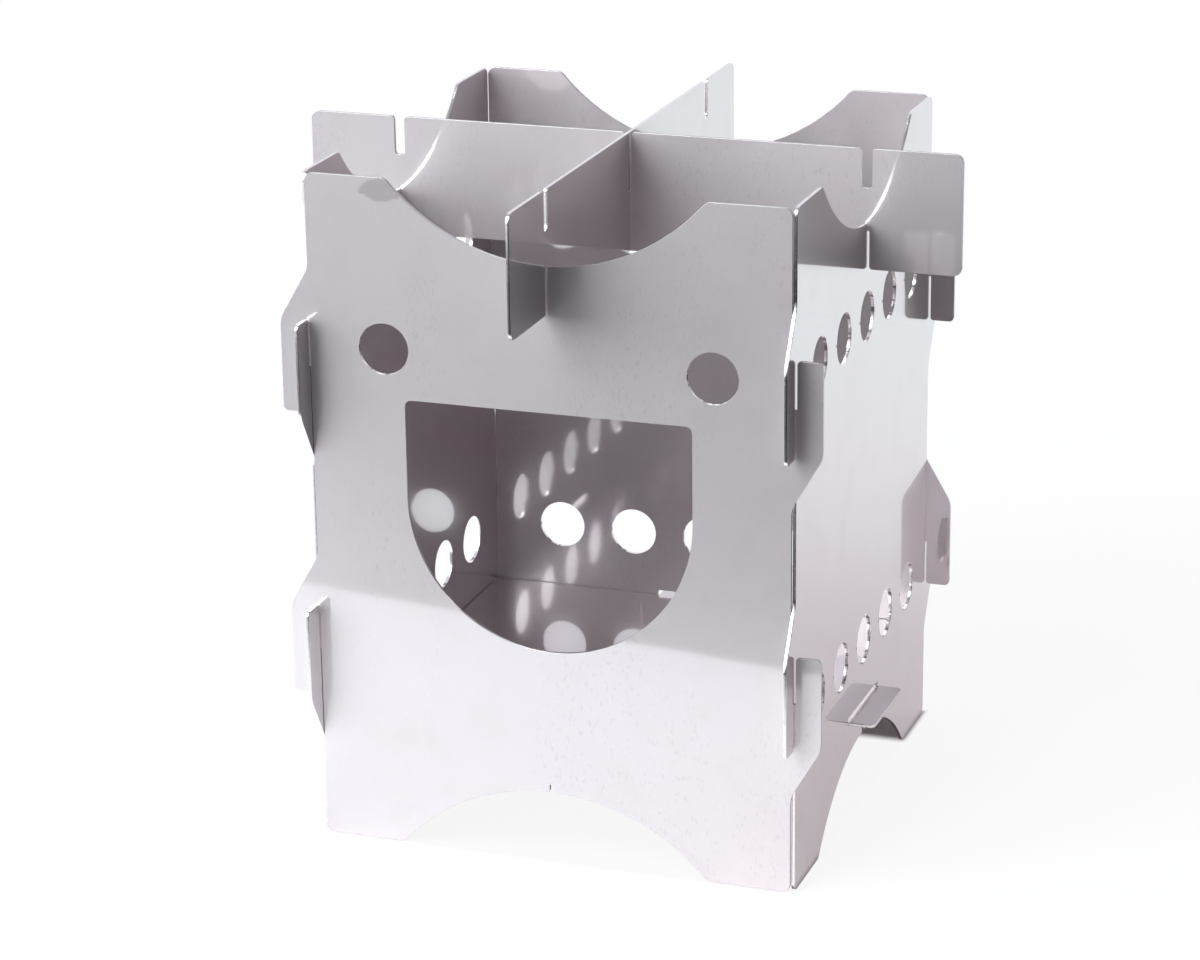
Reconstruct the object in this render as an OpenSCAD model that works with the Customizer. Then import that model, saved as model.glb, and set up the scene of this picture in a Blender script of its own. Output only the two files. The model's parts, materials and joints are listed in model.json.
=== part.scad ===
// Flat-pack wood stove: four steel panels that lap at their corners, a floor plate and two crossed pot supports.
// The front panel faces -Y, +Z is up, and the origin is on the ground under the middle of the stove.

/* [Sheet] */
// Thickness of the steel sheet that every piece is cut from
sheet_t = 1; // [0.6:0.1:1.5]
// Rounding of the mouth of a narrow slot
slot_mouth_r = 1; // [0:0.1:1.5]

/* [Panels] */
// Distance between the middles of two facing panels
body_w = 143.5; // [135:0.5:170]
// Height of a panel
panel_h = 200; // [180:1:240]
// Rounding of the outer corners at the top and the foot of a panel
panel_corner_r = 2.5; // [0:0.5:5]
// Gap between the edge of a panel and the inside of the next one
corner_gap = 0.1; // [0.05:0.05:0.4]

/* [Corner laps] */
// Height of the middle of the lower laps
low_lap_z = 57.7; // [50:0.1:65]
// Distance from the top of a panel down to the middle of the upper laps
high_lap_drop = 56.4; // [45:0.1:70]
// How far a wing stands out past the middle of the panel that it laps
wing_reach = 8.25; // [5:0.25:15]
// Length of a wing from the middle of its lap to its square, slotted end
wing_slot_side = 13.9; // [8:0.1:18]
// Length of a wing from the middle of its lap to the start of its taper
wing_plain_side = 13.4; // [8:0.1:18]
// Height in which a wing tapers back to the edge of the panel
wing_taper_h = 15.1; // [10:0.1:20]
// Rounding at both ends of the taper
wing_blend_r = 8; // [0:0.5:12]
// Rounding of the outer corner of the square end
wing_corner_r = 1.5; // [0:0.5:3]
// Clearance outside the sheet that sits in a lap slot
lap_clearance = 0.4; // [0.1:0.05:0.8]
// Clearance between the bottoms of two lapped slots
lap_end_gap = 0.2; // [0.05:0.05:0.6]

/* [Arches] */
// Width of the arch that is cut into the top and the bottom edge of a panel
arch_w = 93.8; // [70:0.1:105]
// Depth of that arch
arch_h = 21.6; // [12:0.1:30]
// Rounding where the arch meets its edge
arch_fillet_r = 3; // [0:0.5:6]
// Depth of the small notch in the middle of each arch
notch_depth = 2.4; // [1.5:0.1:5]

/* [Air holes] */
// Diameter of an air hole
hole_d = 15; // [8:0.5:18]
// Distance from one air hole to the next
hole_pitch = 24.3; // [20:0.1:27]
// Number of air holes in a row
holes_in_row = 5; // [3:2:5]
// Height of the middle of the lower row
low_row_z = 50.8; // [44:0.1:60]
// Distance from the top of a panel down to the middle of the upper row
high_row_drop = 49.5; // [40:0.1:54]

/* [Feed opening] */
// Width of the feed opening in the front panel
feed_w = 85.2; // [60:0.1:95]
// Distance from the top of the panel down to its straight upper edge
feed_top_drop = 64; // [60:0.5:80]
// Height of the lowest point of its round lower edge
feed_low_z = 64.7; // [45:0.1:70]
// Rounding of its upper corners
feed_corner_r = 2; // [0:0.5:6]

/* [Floor plate] */
// Height of the upper side of the floor plate
floor_z = 30.3; // [26:0.1:38]
// Gap between the plate and the inside of each panel
floor_gap = 0.4; // [0.1:0.1:0.8]
// Width of the tabs through the right, back and left panels
tab_w = 31.3; // [15:0.1:50]
// How far a tab stands out past the middle of its panel
tab_reach = 8.25; // [4:0.25:15]
// Rounding of the outer corners of a tab
tab_corner_r = 2; // [0:0.5:4]
// Space left above a tab in its slot
tab_play = 1.4; // [0.3:0.1:3]
// Clearance beside a tab in its slot
tab_side_gap = 0.6; // [0.1:0.1:0.8]

/* [Pot supports] */
// Length of a pot support
support_l = 200; // [180:1:240]
// Height of a pot support
support_h = 35.5; // [28:0.5:50]
// Depth of the slots near the ends of a support, above and below
support_slot_depth = 11.5; // [8:0.5:13]
// Clearance on each side of the sheet in a support slot, a notch and the crossing
support_clearance = 0.45; // [0.1:0.05:0.8]
// Clearance between the bottoms of the two slots at the crossing
crossing_gap = 0.2; // [0.05:0.05:0.6]
// Width of the spare slots in the upper edge
spare_slot_w = 3.25; // [2:0.05:5]
// Rounding at the bottom of a spare slot
spare_slot_r = 1; // [0:0.1:1]
// Rounding of the corners of a support
support_corner_r = 2.5; // [0:0.5:5]

/* [Hidden] */

// A side of the stove is named by the angle that its panel is turned through.
front_angle = 0;
right_angle = 90;
back_angle = 180;
left_angle = 270;

UP = 1;
DOWN = -1;

corner_steps = 6;
arch_steps = 12;
hole_steps = 64;

panel_edge = body_w / 2 - sheet_t / 2 - corner_gap;
high_lap_z = panel_h - high_lap_drop;
lap_slot_edge = body_w / 2 + sheet_t / 2 + lap_clearance;
wing_tip = body_w / 2 + wing_reach;

arch_r = (pow(arch_w / 2, 2) + pow(arch_h, 2)) / (2 * arch_h);
arch_half_angle = asin(arch_w / 2 / arch_r);
notch_w = sheet_t + 2 * support_clearance;

outer_hole = (holes_in_row - 1) / 2;
high_row_z = panel_h - high_row_drop;
feed_top_z = panel_h - feed_top_drop;
feed_r = feed_w / 2;
feed_round_z = feed_low_z + feed_r;

floor_edge = body_w / 2 - sheet_t / 2 - floor_gap;
tab_tip = body_w / 2 + tab_reach;
tab_slot_edge = tab_w / 2 + tab_side_gap;

support_seat_z = panel_h - arch_h - notch_depth;
support_low_z = support_seat_z - support_slot_depth;
support_top_z = support_low_z + support_h;

// An outline is a list of corners, each [x, y, rounding], written anticlockwise.

function flat(corner) = [corner.x, corner.y];

function turned(p, angle) = [
    p.x * cos(angle) - p.y * sin(angle),
    p.x * sin(angle) + p.y * cos(angle),
];

// The points of one corner. Its rounding ends half way along its edges at the most.
function corner_points(before, corner, after, r) =
    r == 0
        ? [corner]
        : let (
            u = (before - corner) / norm(before - corner),
            v = (after - corner) / norm(after - corner),
            half_angle = acos(u * v) / 2,
            tangent = min(r / tan(half_angle), norm(before - corner) / 2, norm(after - corner) / 2),
            centre = corner + (u + v) / norm(u + v) * tangent / cos(half_angle),
            sweep = sign(cross(v, u)) * (180 - 2 * half_angle)
        )
        [
            for (step = [0 : corner_steps])
                centre + turned(corner + u * tangent - centre, sweep * step / corner_steps)
        ];

function rounded(corners) =
    let (n = len(corners))
    [
        for (i = [0 : n - 1])
            each corner_points(
                flat(corners[(i + n - 1) % n]),
                flat(corners[i]),
                flat(corners[(i + 1) % n]),
                corners[i].z
            )
    ];

// A slot in an edge: UP means that it opens upwards, in an edge that runs to the left.
function slot(x, edge, way, w, depth, r) = [
    [x + way * w / 2, edge, slot_mouth_r],
    [x + way * w / 2, edge - way * depth, r],
    [x - way * w / 2, edge - way * depth, r],
    [x - way * w / 2, edge, slot_mouth_r],
];

// An arch in the top (UP) or bottom (DOWN) edge of a panel, with its notch.
function arch(edge, way) = [
    for (step = [-arch_steps : arch_steps])
        let (angle = -arch_half_angle * step / arch_steps)
        each step == 0
            ? slot(0, edge - way * arch_h, way, notch_w, notch_depth, support_clearance)
            : [[
                way * arch_r * sin(angle),
                edge - way * (arch_h - arch_r * (1 - cos(angle))),
                abs(step) == arch_steps ? arch_fillet_r : 0
            ]]
];

// A wing at a panel's right edge, with its slot open UP, or at the left edge, with its slot open DOWN.
function wing(lap_z, way) = [
    for (corner = [
        [panel_edge, -wing_plain_side - wing_taper_h, wing_blend_r],
        [wing_tip, -wing_plain_side, wing_blend_r],
        [wing_tip, wing_slot_side, wing_corner_r],
        [lap_slot_edge, wing_slot_side, slot_mouth_r],
        [lap_slot_edge, -lap_end_gap / 2, lap_clearance],
        [panel_edge, -lap_end_gap / 2, 0],
    ])
        [way * corner.x, lap_z + way * corner.y, corner.z]
];

panel_outline = concat(
    wing(low_lap_z, UP),
    wing(high_lap_z, UP),
    [[panel_edge, panel_h, panel_corner_r]],
    arch(panel_h, UP),
    [[-panel_edge, panel_h, panel_corner_r]],
    wing(high_lap_z, DOWN),
    wing(low_lap_z, DOWN),
    [[-panel_edge, 0, panel_corner_r]],
    arch(0, DOWN),
    [[panel_edge, 0, panel_corner_r]]
);

feed_outline = [
    [-feed_r, feed_round_z, 0],
    [feed_r, feed_round_z, 0],
    [feed_r, feed_top_z, feed_corner_r],
    [-feed_r, feed_top_z, feed_corner_r],
];

tab_slot_outline = [
    [-tab_slot_edge, floor_z - sheet_t, tab_side_gap],
    [tab_slot_edge, floor_z - sheet_t, tab_side_gap],
    [tab_slot_edge, floor_z + tab_play, tab_side_gap],
    [-tab_slot_edge, floor_z + tab_play, tab_side_gap],
];

// One side of the floor plate: the corner that it starts from, and the tab on every side but the front.
function floor_side(angle) = [
    for (corner = concat(
        [[floor_edge, -floor_edge, tab_corner_r]],
        angle == front_angle ? [] : [
            [floor_edge, -tab_w / 2, 0],
            [tab_tip, -tab_w / 2, tab_corner_r],
            [tab_tip, tab_w / 2, tab_corner_r],
            [floor_edge, tab_w / 2, 0],
        ]
    ))
        let (place = turned(flat(corner), angle - right_angle))
        [place.x, place.y, corner.z]
];

floor_outline = [
    for (angle = [front_angle, right_angle, back_angle, left_angle]) each floor_side(angle)
];

// The outline of a support, whose slot at the crossing opens UP or DOWN.
function support_outline(way) =
    let (
        half_l = support_l / 2,
        seat_x = body_w / 2,
        seat_slot = function (x)
            slot(x, support_low_z, DOWN, notch_w, support_slot_depth, support_clearance),
        spare_slot = function (x)
            slot(x, support_top_z, UP, spare_slot_w, support_slot_depth, spare_slot_r),
        crossing = slot(
            0,
            way == UP ? support_top_z : support_low_z,
            way,
            notch_w,
            support_h / 2 + crossing_gap / 2,
            support_clearance
        )
    )
    concat(
        [[-half_l, support_low_z, support_corner_r]],
        seat_slot(-seat_x),
        way == DOWN ? crossing : [],
        seat_slot(seat_x),
        [[half_l, support_low_z, support_corner_r]],
        [[half_l, support_top_z, support_corner_r]],
        spare_slot(seat_x),
        way == UP ? crossing : [],
        spare_slot(-seat_x),
        [[-half_l, support_top_z, support_corner_r]]
    );

// Stands a flat shape up as sheet, in the middle plane between front and back.
module upright() {
    rotate([90, 0, 0])
        linear_extrude(sheet_t, center = true) children();
}

// Puts an upright sheet on one side of the stove.
module on_side(angle) {
    rotate([0, 0, angle])
        translate([0, -body_w / 2, 0])
            upright() children();
}

module air_holes(z, columns) {
    for (column = columns)
        translate([column * hole_pitch, z])
            circle(d = hole_d, $fn = hole_steps);
}

module feed_opening() {
    polygon(rounded(feed_outline));
    intersection() {
        translate([0, feed_round_z]) circle(feed_r, $fn = hole_steps);
        translate([-feed_r, feed_low_z]) square([feed_w, feed_r]);
    }
}

// A side or back panel: two rows of air holes and a slot for a tab of the floor plate.
module vented_panel(angle) {
    row = [-outer_hole : outer_hole];
    on_side(angle) difference() {
        polygon(rounded(panel_outline));
        air_holes(low_row_z, row);
        air_holes(high_row_z, row);
        polygon(rounded(tab_slot_outline));
    }
}

module front_panel() {
    color([0.76, 0.75, 0.77])
        on_side(front_angle) difference() {
            polygon(rounded(panel_outline));
            air_holes(high_row_z, [-outer_hole, outer_hole]);
            feed_opening();
        }
}

module right_panel() {
    color([0.86, 0.85, 0.87]) vented_panel(right_angle);
}

module back_panel() {
    color([0.62, 0.60, 0.63]) vented_panel(back_angle);
}

module left_panel() {
    color([0.55, 0.53, 0.56]) vented_panel(left_angle);
}

module floor_plate() {
    color([0.48, 0.46, 0.48])
        translate([0, 0, floor_z - sheet_t])
            linear_extrude(sheet_t) polygon(rounded(floor_outline));
}

// Runs from left to right and carries the upper support.
module pot_support_lower() {
    color([0.72, 0.71, 0.73])
        upright() polygon(rounded(support_outline(UP)));
}

// Runs from front to back, over the lower support.
module pot_support_upper() {
    color([0.66, 0.64, 0.67])
        rotate([0, 0, 90])
            upright() polygon(rounded(support_outline(DOWN)));
}

front_panel();
right_panel();
back_panel();
left_panel();
floor_plate();
pot_support_lower();
pot_support_upper();
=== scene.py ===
import json
import math

import bpy
from mathutils import Matrix, Vector

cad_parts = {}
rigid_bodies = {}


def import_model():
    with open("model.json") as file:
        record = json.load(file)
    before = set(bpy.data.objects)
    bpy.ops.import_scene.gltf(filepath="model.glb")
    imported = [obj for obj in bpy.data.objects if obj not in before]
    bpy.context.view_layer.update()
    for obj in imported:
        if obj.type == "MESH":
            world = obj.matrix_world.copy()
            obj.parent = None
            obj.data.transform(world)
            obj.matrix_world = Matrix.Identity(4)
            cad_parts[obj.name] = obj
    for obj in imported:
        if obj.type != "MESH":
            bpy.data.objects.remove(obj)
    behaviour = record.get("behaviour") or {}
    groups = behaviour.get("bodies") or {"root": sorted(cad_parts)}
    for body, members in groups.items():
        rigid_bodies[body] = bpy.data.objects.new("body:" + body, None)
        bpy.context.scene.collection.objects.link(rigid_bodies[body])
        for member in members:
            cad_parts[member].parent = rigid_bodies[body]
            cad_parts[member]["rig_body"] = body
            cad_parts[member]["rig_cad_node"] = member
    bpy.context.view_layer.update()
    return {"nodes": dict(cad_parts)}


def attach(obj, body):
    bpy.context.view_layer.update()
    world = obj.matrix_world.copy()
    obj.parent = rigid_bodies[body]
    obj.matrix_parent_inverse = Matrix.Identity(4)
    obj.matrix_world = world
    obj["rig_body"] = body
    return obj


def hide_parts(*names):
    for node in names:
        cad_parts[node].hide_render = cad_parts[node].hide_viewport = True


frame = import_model()
print("frame loaded:", len(frame["nodes"]), "sheet pieces")

white = (1, 1, 1, 1)
black = (0, 0, 0, 1)


class Signal:
    # a socket of a node tree; sums with it add Math nodes
    def __init__(self, tree, socket=None):
        self.tree = tree
        self.socket = socket

    def node(self, kind, settings, inputs, output=0):
        made = self.tree.nodes.new(kind)
        for name, value in settings.items():
            setattr(made, name, value)
        for name, value in inputs.items():
            if isinstance(value, Signal):
                self.tree.links.new(value.socket, made.inputs[name])
            else:
                made.inputs[name].default_value = value
        return Signal(self.tree, made.outputs[output] if len(made.outputs) else None)

    def maths(self, operation, *values):
        return self.node("ShaderNodeMath", {"operation": operation}, dict(enumerate(values)))

    def __add__(self, other):
        return self.maths("ADD", self, other)

    __radd__ = __add__

    def __sub__(self, other):
        return self.maths("SUBTRACT", self, other)

    def __rsub__(self, other):
        return self.maths("SUBTRACT", other, self)

    def __mul__(self, other):
        return self.maths("MULTIPLY", self, other)

    __rmul__ = __mul__

    def step(self, low, high):
        # 0 below low, 1 above high and smooth between them
        inputs = {"Value": self, "From Min": low, "From Max": high}
        return self.node("ShaderNodeMapRange", {"interpolation_type": "SMOOTHSTEP"}, inputs)


def blankMaterial(name):
    material = bpy.data.materials.new(name)
    material.use_nodes = True
    material.node_tree.nodes.clear()
    return material, Signal(material.node_tree)


def objectPlace(tree, centre=(0, 0, 0), turn=(0, 0, 0), size=(1, 1, 1)):
    where = tree.node("ShaderNodeTexCoord", {}, {}, "Object")
    moved = tree.node("ShaderNodeVectorMath", {"operation": "SUBTRACT"}, {0: where, 1: centre})
    return tree.node("ShaderNodeMapping", {}, {"Vector": moved, "Rotation": turn, "Scale": size})


def axisOf(tree, place, axis):
    return tree.node("ShaderNodeSeparateXYZ", {}, {0: place}, axis)


def reach(tree, place):
    return tree.node("ShaderNodeVectorMath", {"operation": "LENGTH"}, {0: place}, "Value")


def grain(tree, place, size, detail=2.0, rough=0.5):
    # a noise whose patches are about size metres wide
    inputs = {"Vector": place, "Scale": 1 / size, "Detail": detail, "Roughness": rough}
    return tree.node("ShaderNodeTexNoise", {}, inputs)


def blendTone(tree, amount, toneA, toneB):
    # a Mix node of colours takes them at sockets 6 and 7 and gives the result at output 2
    return tree.node("ShaderNodeMix", {"data_type": "RGBA"}, {0: amount, 6: toneA, 7: toneB}, 2)


def blendShader(tree, amount, shaderA, shaderB):
    return tree.node("ShaderNodeMixShader", {}, {0: amount, 1: shaderA, 2: shaderB})


# a pair for a mark holds the noise at which it starts and is full
# a pair of shares is the halo's in the mirror, and the wide gloss's where the steel is seen face on
steelFace = {
    "tone": (0.783, 0.731, 0.746, 1),
    "cloudTone": (0.770, 0.711, 0.726, 1),
    "cloudSize": 0.014,
    "clouds": (0.46, 0.68),
    "dashWidth": 0.0008,
    "dashLength": 0.0020,
    "dashes": (0.6, 0.68),
    "patchSize": 0.03,
    "patches": (0.46, 0.62),
    "darkDash": 0.08,
    "paleDash": 0.06,
    "paleDashOffset": (0.3, 0.2, 0.1),
    "waveSize": 0.05,
    "waveHeight": 0.00002,
    "sharpRoughness": 0.05,
    "haloRoughness": 0.24,
    "wideRoughness": 0.62,
    "outerShares": (0.30, 0.78),
    "innerShares": (0.38, 0.66),
}
# a darker mark by the arch of the front panel
stain = {
    "centre": (-0.0480, -0.0724, 0.1966),
    "turn": (0, math.radians(-42), 0),
    "halfSize": (0.0070, 0.0008, 0.0034),
    "raggedSize": 0.0026,
    "ragged": 0.7,
    "noiseMean": 0.5,
    "rim": (0.9, 1.05),
    "strength": 0.22,
}
# two rows of five on a panel; the front one has only the ends of the upper row
airHoles = {
    "pitch": 0.0243,
    "rows": (0.0508, 0.1505),
    "radius": 0.0075,
    "rowEnd": (0.062, 0.063),
    "wallWithin": 0.0002,
}
# where the laser started each air hole, on its left as seen from outside
laserStart = {
    "besideHole": 0.0080,
    "spot": (0.00035, 0.00055),
    "outerFace": (-0.072, -0.0715),
    "strength": 0.8,
}


def dashes(tree, offset=(0, 0, 0)):
    look = steelFace
    place = objectPlace(tree, centre=offset, size=(1, 1, look["dashWidth"] / look["dashLength"]))
    patch = grain(tree, place, look["patchSize"]).step(*look["patches"])
    return patch * grain(tree, place, look["dashWidth"]).step(*look["dashes"])


def stainMark(tree):
    place = objectPlace(tree, stain["centre"], stain["turn"], [1 / half for half in stain["halfSize"]])
    ragged = grain(tree, objectPlace(tree), stain["raggedSize"], detail=3) - stain["noiseMean"]
    return 1 - (reach(tree, place) + ragged * stain["ragged"]).step(*stain["rim"])


def laserMark(tree, turn):
    # turned back by its side's angle, a panel lies where the front one does
    place = objectPlace(tree, turn=(0, 0, -turn))
    along = axisOf(tree, place, 0)
    height = axisOf(tree, place, 2)
    outer = 1 - axisOf(tree, place, 1).step(*laserStart["outerFace"])
    half = airHoles["pitch"] / 2
    beside = tree.maths("WRAP", along + laserStart["besideHole"], half, -half)
    rowLow, rowHigh = (tree.maths("ABSOLUTE", height - row) for row in airHoles["rows"])
    above = tree.maths("MINIMUM", rowLow, rowHigh)
    away = tree.maths("SQRT", beside * beside + above * above)
    inRow = 1 - tree.maths("ABSOLUTE", along).step(*airHoles["rowEnd"])
    return outer * inRow * (1 - away.step(*laserStart["spot"]))


def steelTone(tree, place, turn):
    look = steelFace
    cloud = grain(tree, place, look["cloudSize"], detail=4, rough=0.6).step(*look["clouds"])
    tone = blendTone(tree, cloud, look["tone"], look["cloudTone"])
    dark = dashes(tree) * look["darkDash"]
    dark = tree.maths("MAXIMUM", dark, stainMark(tree) * stain["strength"])
    if turn is not None:
        dark = tree.maths("MAXIMUM", dark, laserMark(tree, turn) * laserStart["strength"])
    tone = blendTone(tree, dark, tone, black)
    pale = dashes(tree, look["paleDashOffset"]) * look["paleDash"]
    return blendTone(tree, pale, tone, white)


def steelFaceMaterial(name, turn=None, shares=steelFace["outerShares"]):
    # turn is the angle of the stove's side, for a panel with air holes
    look = steelFace
    haloShare, wideShare = shares
    material, tree = blankMaterial(name)
    place = objectPlace(tree)
    tone = steelTone(tree, place, turn)
    wave = grain(tree, place, look["waveSize"], detail=1)
    waves = {"Height": wave, "Strength": 1.0, "Distance": look["waveHeight"]}
    bump = tree.node("ShaderNodeBump", {}, waves)
    sharp, halo, wide = (
        tree.node("ShaderNodeBsdfPrincipled", {}, {
            "Base Color": tone, "Metallic": 1.0, "Roughness": look[part], "Normal": bump,
        })
        for part in ("sharpRoughness", "haloRoughness", "wideRoughness")
    )
    # the wide gloss is strongest face on, and the steel is near a mirror at a slant
    straight = 1 - tree.node("ShaderNodeLayerWeight", {}, {"Blend": 0.5}, "Facing")
    mirror = blendShader(tree, haloShare, sharp, halo)
    steel = blendShader(tree, straight * straight * wideShare, mirror, wide)
    tree.node("ShaderNodeOutputMaterial", {}, {"Surface": steel})
    return material


# the lines of the cut run across the sheet, and lineStretch draws them out that way
cutEdge = {
    # painted highlight: the cut edges of the sheets that run front to back get this pale tone for the
    # light they catch
    "tone": (0.93, 0.885, 0.90, 1),
    "darkTone": (0.76, 0.71, 0.72, 1),
    "lineSize": 0.0002,
    "lineStretch": 0.12,
    "lines": (0.5, 0.75),
    "lineDepth": 0.00003,
    "roughness": 0.16,
    "lineRoughness": 0.1,
}
# painted shade: the cut edges catch less light on the sheets that stand across the stove and on the floor
# plate, and are given darker tones for it
crossEdgePaintedShade = dict(cutEdge, tone=(0.56, 0.53, 0.54, 1), darkTone=(0.43, 0.40, 0.41, 1))
plateEdgePaintedShade = dict(cutEdge, tone=(0.76, 0.72, 0.73, 1), darkTone=(0.60, 0.56, 0.57, 1))
# the walls of the air holes have coarser burn marks
holeWall = dict(
    cutEdge,
    tone=(0.88, 0.84, 0.855, 1),
    darkTone=(0.28, 0.25, 0.26, 1),
    lineSize=0.0022,
    lines=(0.50, 0.58),
    lineDepth=0.00005,
    roughness=0.3,
)


def cutEdgeMaterial(name, look, across):
    # across is the axis of the sheet's thickness
    material, tree = blankMaterial(name)
    place = objectPlace(tree, size=[look["lineStretch"] if axis == across else 1 for axis in range(3)])
    lines = grain(tree, place, look["lineSize"])
    tone = blendTone(tree, lines.step(*look["lines"]), look["tone"], look["darkTone"])
    grooves = {"Height": lines, "Strength": 1.0, "Distance": look["lineDepth"]}
    bump = tree.node("ShaderNodeBump", {}, grooves)
    steel = tree.node("ShaderNodeBsdfPrincipled", {}, {
        "Base Color": tone, "Metallic": 1.0, "Normal": bump,
        "Roughness": look["roughness"] + lines * look["lineRoughness"],
    })
    tree.node("ShaderNodeOutputMaterial", {}, {"Surface": steel})
    return material


faceSteel = {
    "plain": steelFaceMaterial("plainSteel"),
    "inner": steelFaceMaterial("innerSteel", shares=steelFace["innerShares"]),
    "front": steelFaceMaterial("frontSteel"),
    "right": steelFaceMaterial("rightSteel", math.radians(90)),
    "back": steelFaceMaterial("backSteel", math.radians(180)),
    "left": steelFaceMaterial("leftSteel", math.radians(270)),
}
# in the order of the axes of the sheets' thickness
edgeSteel = [
    cutEdgeMaterial("cutEdgeX", cutEdge, 0),
    cutEdgeMaterial("cutEdgeY", crossEdgePaintedShade, 1),
    cutEdgeMaterial("cutEdgeZ", plateEdgePaintedShade, 2),
]
wallSteel = [
    cutEdgeMaterial("holeWallX", holeWall, 0),
    cutEdgeMaterial("holeWallY", holeWall, 1),
]
print("materials made")


# name of the piece: CAD node, body that it rides on, axis of the sheet's thickness,
# steel of its faces, whether it is an upright panel
sheetPieces = {
    "frontPanel": ("front_panel", "stove_body", 1, "front", True),
    "rightPanel": ("right_panel", "stove_body", 0, "right", True),
    "backPanel": ("back_panel", "stove_body", 1, "back", True),
    "leftPanel": ("left_panel", "stove_body", 0, "left", True),
    "floorPlate": ("floor_plate", "stove_body", 2, "inner", False),
    "lowerSupport": ("pot_support_lower", "lower_support", 1, "plain", False),
    "upperSupport": ("pot_support_upper", "upper_support", 0, "plain", False),
}
cutSheet = {
    "weldDistance": 0.000001,
    "flatWithin": math.radians(0.2),
    "edgeBreak": 0.00004,
    "edgeBreakSteps": 2,
    "edgeAngle": math.radians(35),
    "smoothAngle": math.radians(40),
    "squareToAxis": 0.9999,
}
# the order of a sheet's material slots
slotOrder = {
    "face": 0,
    "edge": 1,
    "holeWall": 2,
    "inside": 3,
}


def onlySelect(thing):
    bpy.ops.object.select_all(action="DESELECT")
    thing.select_set(True)
    bpy.context.view_layer.objects.active = thing


def copyNode(name, node):
    onlySelect(frame["nodes"][node])
    bpy.ops.object.duplicate()
    piece = bpy.context.view_layer.objects.active
    piece.name = name
    piece.data.name = name
    # the tags and the parent are the CAD node's own
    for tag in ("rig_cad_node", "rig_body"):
        if tag in piece:
            del piece[tag]
    bpy.ops.object.parent_clear(type="CLEAR_KEEP_TRANSFORM")
    return piece


def breakEdges(piece):
    onlySelect(piece)
    bpy.ops.object.mode_set(mode="EDIT")
    bpy.ops.mesh.select_all(action="SELECT")
    bpy.ops.mesh.remove_doubles(threshold=cutSheet["weldDistance"])
    bpy.ops.mesh.dissolve_limited(angle_limit=cutSheet["flatWithin"])
    bpy.ops.object.mode_set(mode="OBJECT")
    bpy.ops.mesh.customdata_custom_splitnormals_clear()
    bevel = piece.modifiers.new("edgeBreak", "BEVEL")
    bevel.width = cutSheet["edgeBreak"]
    bevel.segments = cutSheet["edgeBreakSteps"]
    bevel.limit_method = "ANGLE"
    bevel.angle_limit = cutSheet["edgeAngle"]
    bpy.ops.object.modifier_apply(modifier=bevel.name)
    bpy.ops.object.shade_smooth_by_angle(angle=cutSheet["smoothAngle"])


def isHoleWall(face, across):
    along = face.center[1 - across]
    if abs(along) > airHoles["rowEnd"][0]:
        return False
    along -= round(along / airHoles["pitch"]) * airHoles["pitch"]
    away = [math.hypot(along, face.center.z - row) for row in airHoles["rows"]]
    return abs(min(away) - airHoles["radius"]) < airHoles["wallWithin"]


def slotOf(face, across, panel):
    if abs(face.normal[across]) > cutSheet["squareToAxis"]:
        inward = face.normal[across] * face.center[across] < 0
        return slotOrder["inside" if panel and inward else "face"]
    return slotOrder["holeWall" if panel and isHoleWall(face, across) else "edge"]


def giveSteel(piece, across, steel, panel):
    slots = [faceSteel[steel], edgeSteel[across]]
    if panel:
        slots += [wallSteel[across], faceSteel["inner"]]
    piece.data.materials.clear()
    for material in slots:
        piece.data.materials.append(material)
    for face in piece.data.polygons:
        face.material_index = slotOf(face, across, panel)
        face.use_smooth = face.material_index in (slotOrder["edge"], slotOrder["holeWall"])


def makeSheet(name, node, body, across, steel, panel):
    piece = copyNode(name, node)
    breakEdges(piece)
    giveSteel(piece, across, steel, panel)
    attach(piece, body)
    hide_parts(node)
    return piece


for name, facts in sheetPieces.items():
    sheet = makeSheet(name, *facts)
    print("sheet dressed:", name, len(sheet.data.polygons), "faces")


# the floor as the camera sees it, white with the stove's shadow; distances are from the stove's middle
floorLook = {
    "size": 12.0,
    "tone": (0.935, 0.925, 0.935, 1),
    # painted shade: the paper under the stove has a darker, warmer tone
    "paintedShadeUnderTone": (0.68, 0.59, 0.60, 1),
    "stoveSide": (0.0715, 0.074),
    "darkUnder": (0.044, 0.05),
    "shadowUnder": 0.95,
    "shadowBeside": 0.09,
    "shadowEnd": (0.2, 0.6),
}
# the floor as the steel mirrors it: a white sheet, and a darker floor beyond the sheet's front edge
# a pair is the stretch in which a tone passes into the next: along x for the left and right, and
# otherwise in metres past that edge
# on the sheet, painted light towards its front edge and left of the stove, and painted shade right of the
# stove
mirroredFloor = {
    "sheetEdge": (0.0, -0.239),
    "sheetEdgeTurn": math.radians(8.8),
    "beyond": (0.0, 0.004),
    "beyondTone": (0.46, 0.46, 0.47, 1),
    "beyondRight": (-0.22, -0.04),
    "beyondRightTone": (0.08, 0.08, 0.085, 1),
    "far": (0.0, 0.22),
    "farTone": (0.10, 0.10, 0.10, 1),
    "farRight": (-0.26, -0.10),
    "farRightTone": (0.005, 0.005, 0.005, 1),
    "behindTone": (0.96, 1.03, 1.06, 1),
    "beside": (-0.70, -0.25),
    "besideShare": 0.48,
    "rightSide": (0.02, 0.06),
    "paintedShadeRightTone": (1.0, 0.945, 0.965, 1),
    "frontEdge": (-0.12, -0.03),
    "paintedLightFrontTone": (1.14, 1.25, 1.29, 1),
    "leftSide": (-0.10, -0.085),
    "leftSideEnd": (-0.14, -0.10),
    "paintedLightLeftTone": (1.46, 1.52, 1.56, 1),
}


def lightPath(tree, ray):
    return tree.node("ShaderNodeLightPath", {}, {}, ray)


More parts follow.
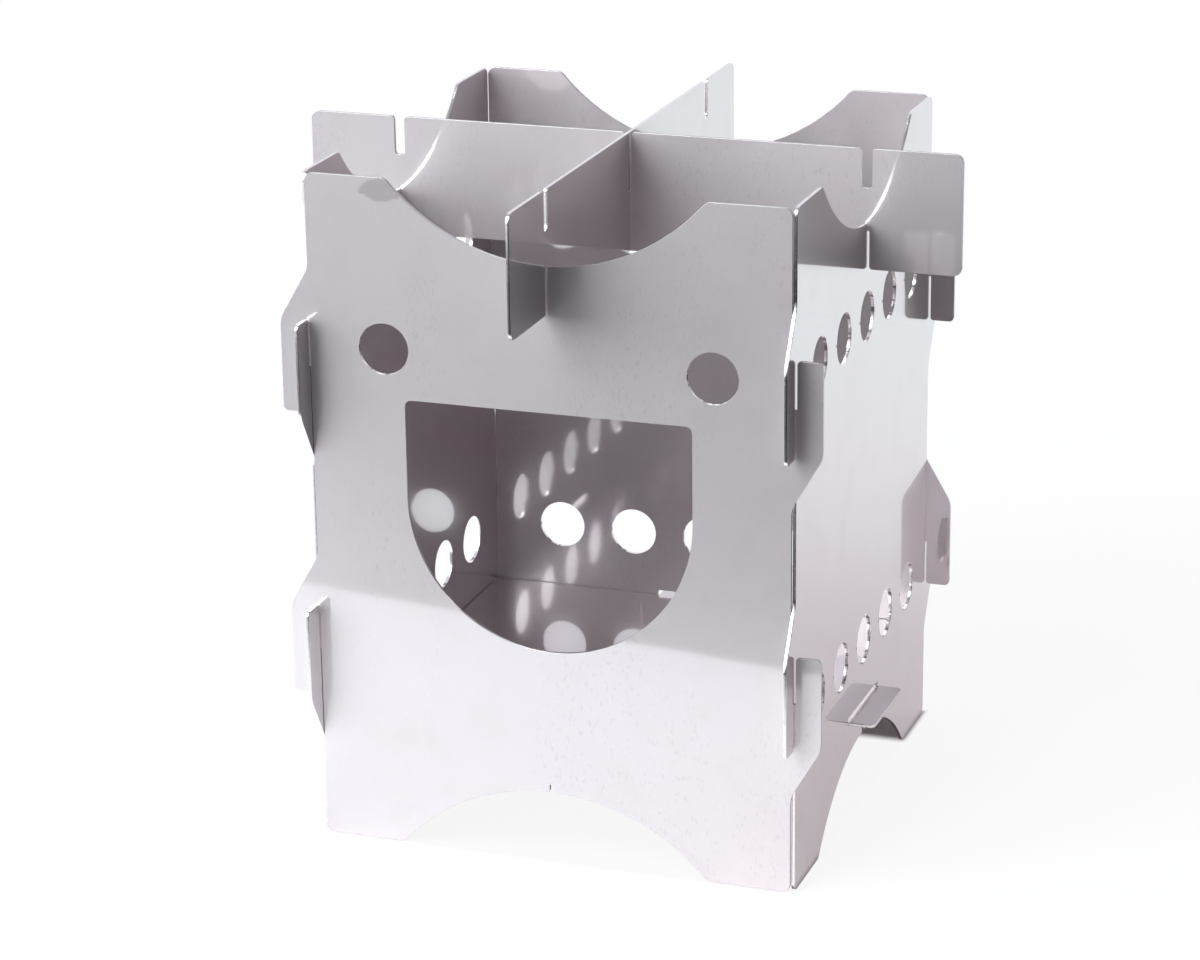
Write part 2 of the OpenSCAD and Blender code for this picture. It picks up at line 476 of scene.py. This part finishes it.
def mirroredPath(tree):
    return tree.maths("MAXIMUM", lightPath(tree, "Is Glossy Ray"), lightPath(tree, "Is Transmission Ray"))


def pastSheetEdge(x, y):
    edgeX, edgeY = mirroredFloor["sheetEdge"]
    turn = mirroredFloor["sheetEdgeTurn"]
    return (edgeY - y) * math.cos(turn) - (edgeX - x) * math.sin(turn)


def mirroredTone(tree, x, past, beside, beyond):
    look = mirroredFloor
    dark = blendTone(tree, x.step(*look["beyondRight"]), look["beyondTone"], look["beyondRightTone"])
    far = blendTone(tree, x.step(*look["farRight"]), look["farTone"], look["farRightTone"])
    dark = blendTone(tree, past.step(*look["far"]), dark, far)
    # painted shade: right of the stove, where its shadow falls, the mirrored sheet takes a warmer tone
    right = beside * x.step(*look["rightSide"])
    sheet = blendTone(tree, right, look["behindTone"], look["paintedShadeRightTone"])
    # painted light: towards its front edge, away from the stove's shade, the mirrored sheet is brighter
    # than white
    sheet = blendTone(tree, past.step(*look["frontEdge"]), sheet, look["paintedLightFrontTone"])
    # painted light: left of the stove, where the lamps fall, the mirrored sheet is brighter still
    left = (1 - x.step(*look["leftSide"])) * (1 - past.step(*look["leftSideEnd"]))
    sheet = blendTone(tree, left * beside, sheet, look["paintedLightLeftTone"])
    return blendTone(tree, beyond, sheet, dark)


def floorMaterial():
    look = floorLook
    material, tree = blankMaterial("studioFloor")
    place = objectPlace(tree)
    x = axisOf(tree, place, 0)
    y = axisOf(tree, place, 1)
    seen = lightPath(tree, "Is Camera Ray")
    mirrored = mirroredPath(tree)
    past = pastSheetEdge(x, y)
    beyond = past.step(*mirroredFloor["beyond"])
    beside = past.step(*mirroredFloor["beside"])
    ground = mirroredTone(tree, x, past, beside, beyond)
    sideways = tree.maths("MAXIMUM", tree.maths("ABSOLUTE", x), tree.maths("ABSOLUTE", y))
    outside = sideways.step(*look["stoveSide"])
    around = (1 - reach(tree, place).step(*look["shadowEnd"])) * look["shadowBeside"]
    under = (1 - outside) * y.step(*look["darkUnder"]) * (look["shadowUnder"] - look["shadowBeside"])
    # beside and under the stove the steel mirrors the paper too, with the shadow on it
    clear = 1 - beside * (1 - mirroredFloor["besideShare"])
    clear = tree.maths("MAXIMUM", beyond, clear * outside)
    glow = tree.node("ShaderNodeEmission", {}, {
        "Color": blendTone(tree, mirrored, white, ground), "Strength": 1.0,
    })
    # painted shade: under the stove the paper takes the darker tone, on top of its real shadow
    paper = tree.node("ShaderNodeBsdfDiffuse", {}, {
        "Color": blendTone(tree, outside, look["paintedShadeUnderTone"], look["tone"]),
    })
    share = seen * (1 - around - under) + mirrored * clear
    shown = blendShader(tree, share, paper, glow)
    tree.node("ShaderNodeOutputMaterial", {}, {"Surface": shown})
    return material


def makeFloor():
    bpy.ops.object.select_all(action="DESELECT")
    bpy.ops.mesh.primitive_plane_add(size=floorLook["size"])
    floor = bpy.context.view_layer.objects.active
    floor.name = "studioFloor"
    floor.data.materials.append(floorMaterial())


# a pair after a direction holds the cosines to it at which a part of the room starts and is full
room = {
    "tone": (0.95, 0.95, 1.02, 1),
    "level": 0.15,
    "background": ((0, 1, 0), -0.1, 0.4),
    "aboveBackground": ((0, 0, 1), 0.05, 0.3),
}
# the brighter parts of the room: direction and pair, with the level that each adds
roomGlow = {
    "back": ((-0.35, 0.9, 0.25), -0.1, 0.9, 0.39),
    "high": ((-0.3, 0.7, 0.65), 0.6, 1.0, 0.36),
}


def facing(tree, way, direction, low, high):
    # 1 towards a direction and 0 away from it
    inputs = {0: way, 1: Vector(direction).normalized()}
    return tree.node("ShaderNodeVectorMath", {"operation": "DOT_PRODUCT"}, inputs, "Value").step(low, high)


def background(tree, tone, level=1.0):
    return tree.node("ShaderNodeBackground", {}, {"Color": tone, "Strength": level})


def makeSky():
    world = bpy.data.worlds.new("studioRoom")
    bpy.context.scene.world = world
    world.use_nodes = True
    world.node_tree.nodes.clear()
    tree = Signal(world.node_tree)
    seen = lightPath(tree, "Is Camera Ray")
    mirrored = mirroredPath(tree)
    way = tree.node("ShaderNodeTexCoord", {}, {}, "Generated")
    # the steel mirrors the white background low behind the stove
    low = mirrored * facing(tree, way, *room["background"])
    low = low * (1 - facing(tree, way, *room["aboveBackground"]))
    level = room["level"]
    for direction, start, full, strength in roomGlow.values():
        level = level + facing(tree, way, direction, start, full) * strength
    dim = background(tree, room["tone"], level)
    behind = background(tree, mirroredFloor["behindTone"])
    around = blendShader(tree, low, dim, behind)
    shown = blendShader(tree, seen, around, background(tree, white))
    tree.node("ShaderNodeOutputWorld", {}, {"Surface": shown})


# name: degrees from the front towards the right, degrees above level, width, power
lamps = {
    "keySoftbox": (-43, 20, 2.2, 43),
    "highSoftbox": (-30, 45, 1.4, 49),
    "leftSoftbox": (-65, 20, 1.1, 15),
    "nearSoftbox": (-13, 21, 0.6, 2.3),
}
lampRig = {
    "tint": (0.94, 1.0, 1.03),
    "distance": 2.4,
    "aimHeight": 0.1,
}


def makeLamp(name, azimuth, elevation, width, power):
    side = math.radians(azimuth)
    rise = math.radians(elevation)
    level = math.cos(rise)
    way = Vector((level * math.sin(side), -level * math.cos(side), math.sin(rise)))
    aim = Vector((0, 0, lampRig["aimHeight"]))
    bpy.ops.object.light_add(type="AREA", location=way * lampRig["distance"] + aim)
    lamp = bpy.context.view_layer.objects.active
    lamp.name = name
    lamp.data.size = width
    lamp.data.energy = power
    lamp.data.color = lampRig["tint"]
    lamp.rotation_euler = way.to_track_quat("Z", "Y").to_euler()


makeFloor()
makeSky()
for name, settings in lamps.items():
    makeLamp(name, *settings)
print("studio made")


# the photograph's camera, fitted to it: unit vectors for its directions, lens and sensor in mm
photoCamera = {
    "place": (0.349758, -1.010082, 0.450626),
    "right": (0.9432285, 0.33193424, -0.01181761),
    "up": (-0.09460859, 0.30260643, 0.94840844),
    "back": (0.31838532, -0.89344782, 0.31683084),
    "lens": 113.03,
    "sensor": 36.0,
    "clipStart": 0.01,
}


def makeCamera():
    bpy.ops.object.camera_add()
    camera = bpy.context.view_layer.objects.active
    camera.name = "photoCamera"
    turn = Matrix([photoCamera[way] for way in ("right", "up", "back")]).transposed().to_4x4()
    camera.matrix_world = Matrix.Translation(photoCamera["place"]) @ turn
    camera.data.sensor_width = photoCamera["sensor"]
    camera.data.lens = photoCamera["lens"]
    camera.data.clip_start = photoCamera["clipStart"]
    bpy.context.scene.camera = camera


makeCamera()
bpy.context.scene.view_settings.view_transform = "Standard"
print("camera set")
